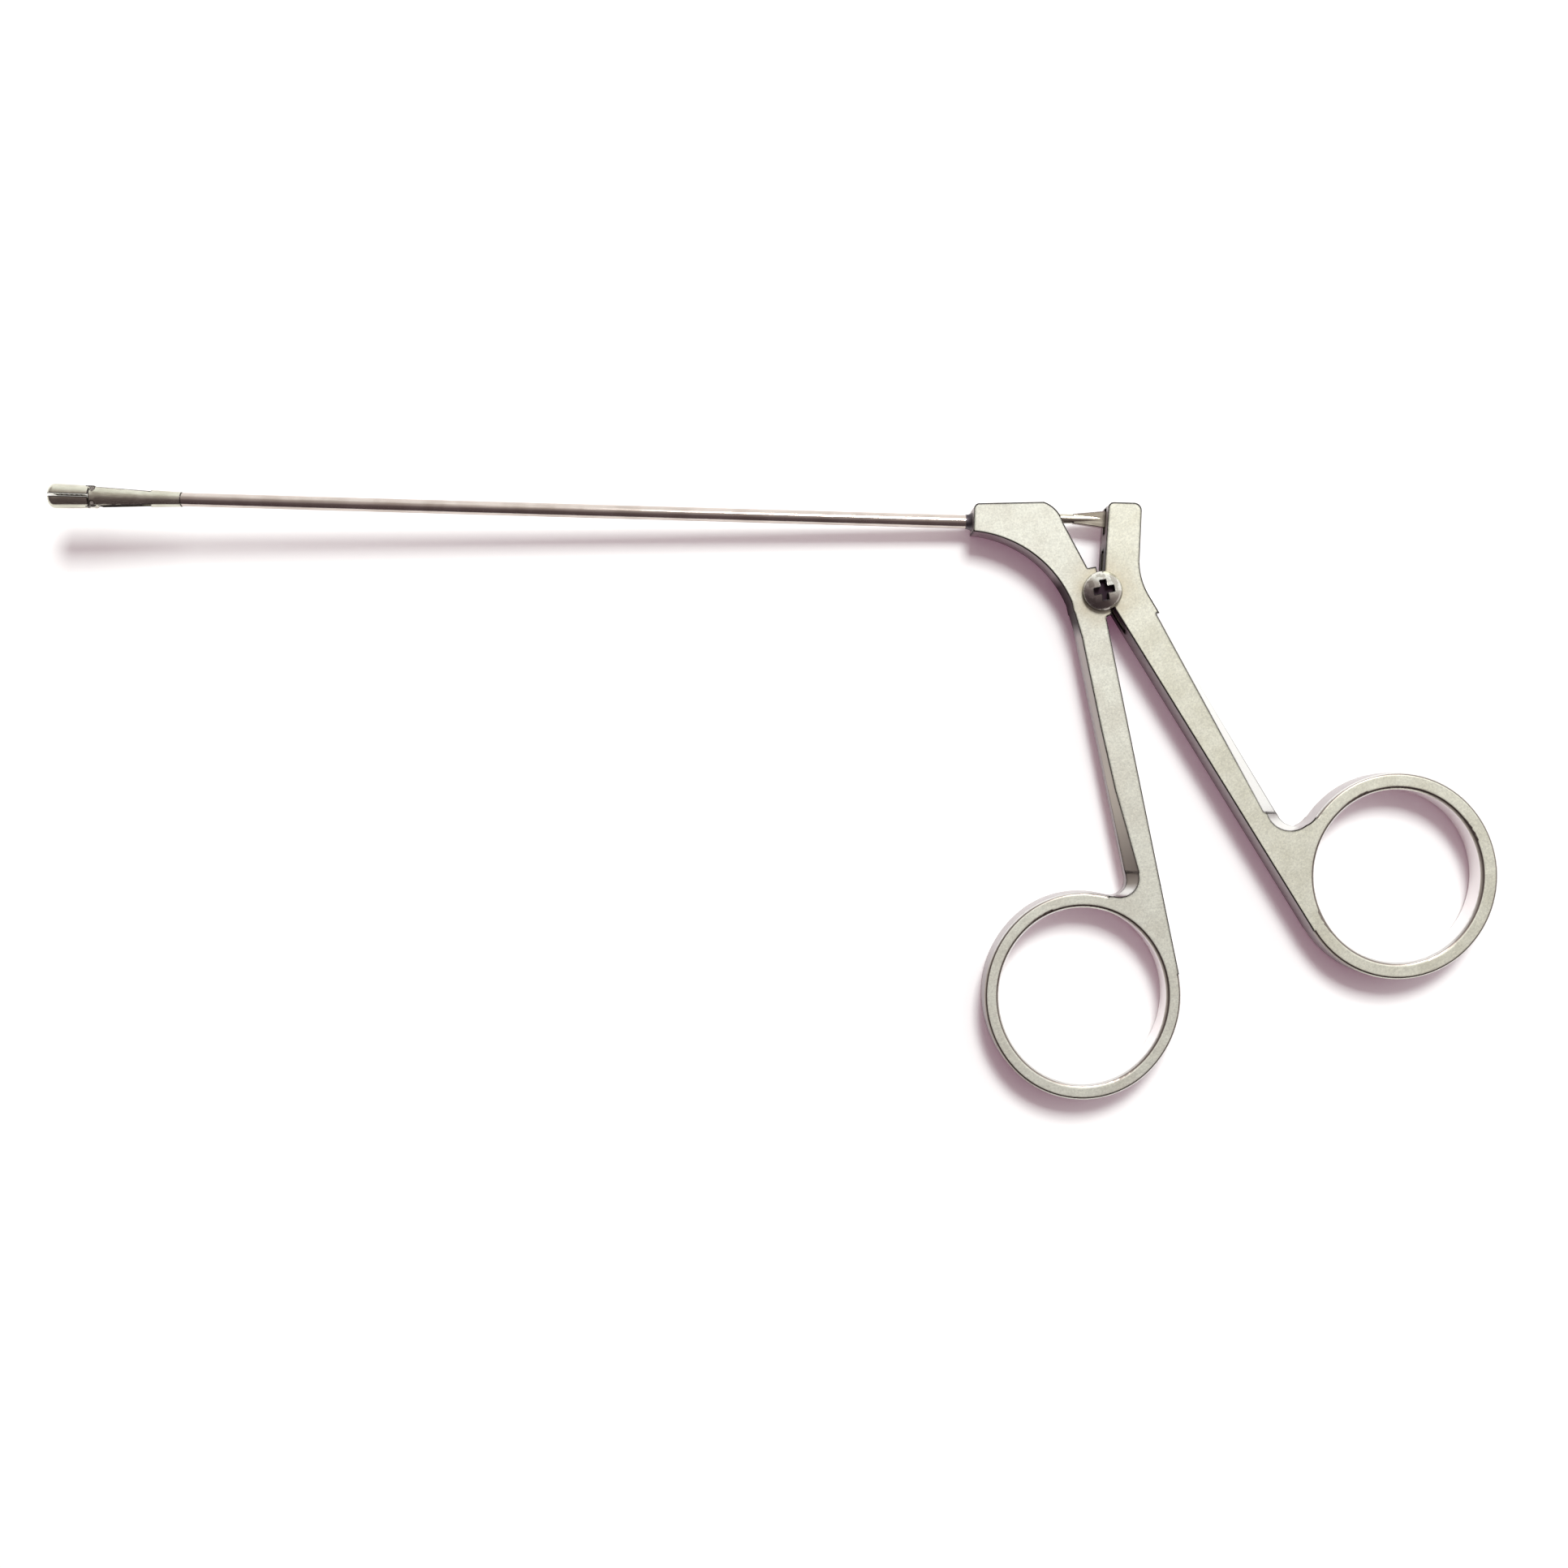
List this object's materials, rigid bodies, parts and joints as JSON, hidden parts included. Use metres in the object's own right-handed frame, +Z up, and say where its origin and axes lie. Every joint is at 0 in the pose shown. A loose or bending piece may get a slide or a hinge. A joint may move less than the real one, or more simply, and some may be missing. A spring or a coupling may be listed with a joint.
{
  "type": "grasping forceps",
  "caption": "Ring-handled grasping forceps: a slim tube shaft with double-acting jaws at its tip, worked by a thumb lever through a rod in the tube.",
  "frame": {"origin": "where the shaft's axis meets the front face of the finger handle's block", "axes": "+X runs back along the shaft towards the handles, +Y towards the block's top edge, +Z up and square to the flat handles, which lie flat on their underside"},
  "size_m": [0.2046, 0.0835, 0.007],
  "materials": {
    "handle_steel": "satin, finely brushed",
    "screw_steel": "polished",
    "tube_steel": "polished, with fine wear",
    "jaw_steel": "polished, with fine wear",
    "rod_steel": "polished",
    "pin_steel": "satin",
    "solder": "dull, dark"
  },
  "bodies": {
    "frame": {"finger_handle": "handle_steel", "shaft_tube": "tube_steel", "tube_collar": "solder", "jaw_head": "jaw_steel", "upper_jaw_pin": "pin_steel", "lower_jaw_pin": "pin_steel"},
    "thumb": {"thumb_handle": "handle_steel", "pivot_screw": "screw_steel", "rod_pin": "pin_steel"},
    "rod": {"drive_rod": "rod_steel", "rod_end": "rod_steel", "drive_yoke": "rod_steel", "drive_pin": "pin_steel"},
    "upper": {"upper_jaw": "jaw_steel"},
    "lower": {"lower_jaw": "jaw_steel"}
  },
  "joints": [
    {"name": "thumb_pivot", "type": "hinge", "parent": "frame", "child": "thumb", "pos_m": [0.01815, -0.0095, 0], "axis": [0, 0, 1], "range_deg": [-0.9, 13]},
    {"name": "rod_slide", "type": "slide", "parent": "frame", "child": "rod", "axis": [-1, 0, 0], "range_m": [-0.00018, 0.0024]},
    {"name": "upper_jaw_hinge", "type": "hinge", "parent": "frame", "child": "upper", "pos_m": [-0.12358, 0.001, 0], "axis": [0, 0, -1], "range_deg": [-1.78, 25.6]},
    {"name": "lower_jaw_hinge", "type": "hinge", "parent": "frame", "child": "lower", "pos_m": [-0.12358, -0.001, 0], "axis": [0, 0, 1], "range_deg": [-1.78, 25.6]}
  ],
  "couplings": [
    {"joint": "rod_slide", "follows": "thumb_pivot", "m_per_rad": 0.0105},
    {"joint": "upper_jaw_hinge", "follows": "thumb_pivot", "ratio": 1.96},
    {"joint": "lower_jaw_hinge", "follows": "thumb_pivot", "ratio": 1.96}
  ]
}
